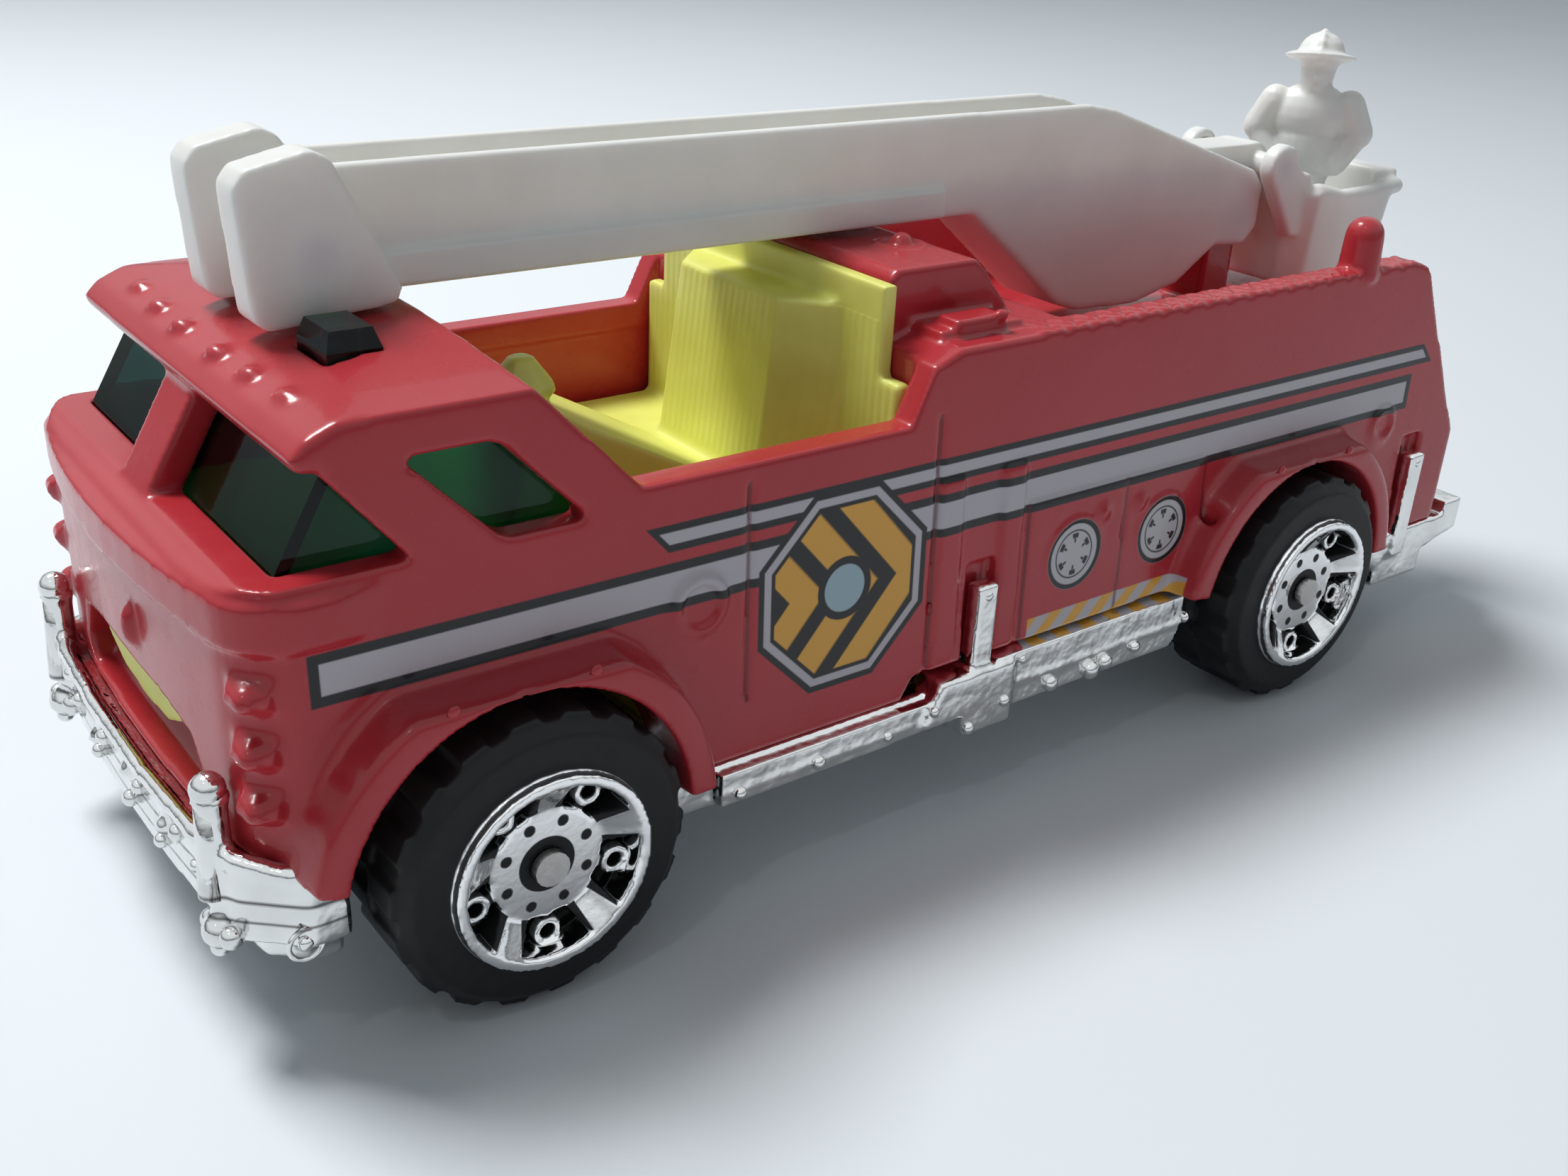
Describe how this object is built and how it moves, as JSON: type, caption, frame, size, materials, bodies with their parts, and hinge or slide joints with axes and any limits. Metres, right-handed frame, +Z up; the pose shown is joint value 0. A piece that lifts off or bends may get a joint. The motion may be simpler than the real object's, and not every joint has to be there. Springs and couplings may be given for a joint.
{
  "type": "toy fire engine",
  "caption": "Pocket-size die-cast toy fire engine: hollow cast cab and body, open crew bay, chromed base, free wheels and a folding two-part arm with a bucket and moulded figure.",
  "frame": {"origin": "on the ground under the middle of the toy's length, in its centre plane", "axes": "+X forward, +Y to the engine's left, +Z up"},
  "size_m": [0.0727, 0.0284, 0.0316],
  "materials": {
    "red_enamel": "gloss",
    "chrome_plastic": "polished",
    "yellow_plastic": "satin",
    "blue_clear": "clear",
    "axle_steel": "bright",
    "wheel_black": "satin",
    "white_plastic": "satin"
  },
  "bodies": {
    "chassis": {"body_casting": "red_enamel", "chrome_base": "chrome_plastic", "interior": "yellow_plastic", "windows": "blue_clear", "front_axle": "axle_steel", "rear_axle": "axle_steel"},
    "wheel_front_left": {"wheel_front_left": "wheel_black"},
    "wheel_front_right": {"wheel_front_right": "wheel_black"},
    "wheel_rear_left": {"wheel_rear_left": "wheel_black"},
    "wheel_rear_right": {"wheel_rear_right": "wheel_black"},
    "lower_boom": {"lower_boom": "white_plastic"},
    "upper_boom": {"upper_boom": "white_plastic"},
    "bucket": {"bucket": "white_plastic", "bucket_figure": "white_plastic"}
  },
  "joints": [
    {"name": "roll_front_left", "type": "hinge", "parent": "chassis", "child": "wheel_front_left", "pos_m": [0.025, 0.0113, 0.006], "axis": [0, 1, 0], "continuous": true},
    {"name": "roll_front_right", "type": "hinge", "parent": "chassis", "child": "wheel_front_right", "pos_m": [0.025, -0.0113, 0.006], "axis": [0, 1, 0], "continuous": true},
    {"name": "roll_rear_left", "type": "hinge", "parent": "chassis", "child": "wheel_rear_left", "pos_m": [-0.019, 0.0113, 0.006], "axis": [0, 1, 0], "continuous": true},
    {"name": "roll_rear_right", "type": "hinge", "parent": "chassis", "child": "wheel_rear_right", "pos_m": [-0.019, -0.0113, 0.006], "axis": [0, 1, 0], "continuous": true},
    {"name": "boom_lift", "type": "hinge", "parent": "chassis", "child": "lower_boom", "pos_m": [-0.0236, 0, 0.0222], "axis": [0, -1, 0], "range_deg": [0, 60]},
    {"name": "elbow", "type": "hinge", "parent": "lower_boom", "child": "upper_boom", "pos_m": [0.0277, 0, 0.026], "axis": [0, 1, 0], "range_deg": [0, 150]},
    {"name": "bucket_level", "type": "hinge", "parent": "upper_boom", "child": "bucket", "pos_m": [-0.0255, 0, 0.025], "axis": [0, -1, 0], "range_deg": [0, 90]}
  ],
  "couplings": [
    {"joint": "boom_lift", "follows": "elbow", "ratio": 0.4},
    {"joint": "bucket_level", "follows": "elbow", "ratio": 0.6}
  ]
}
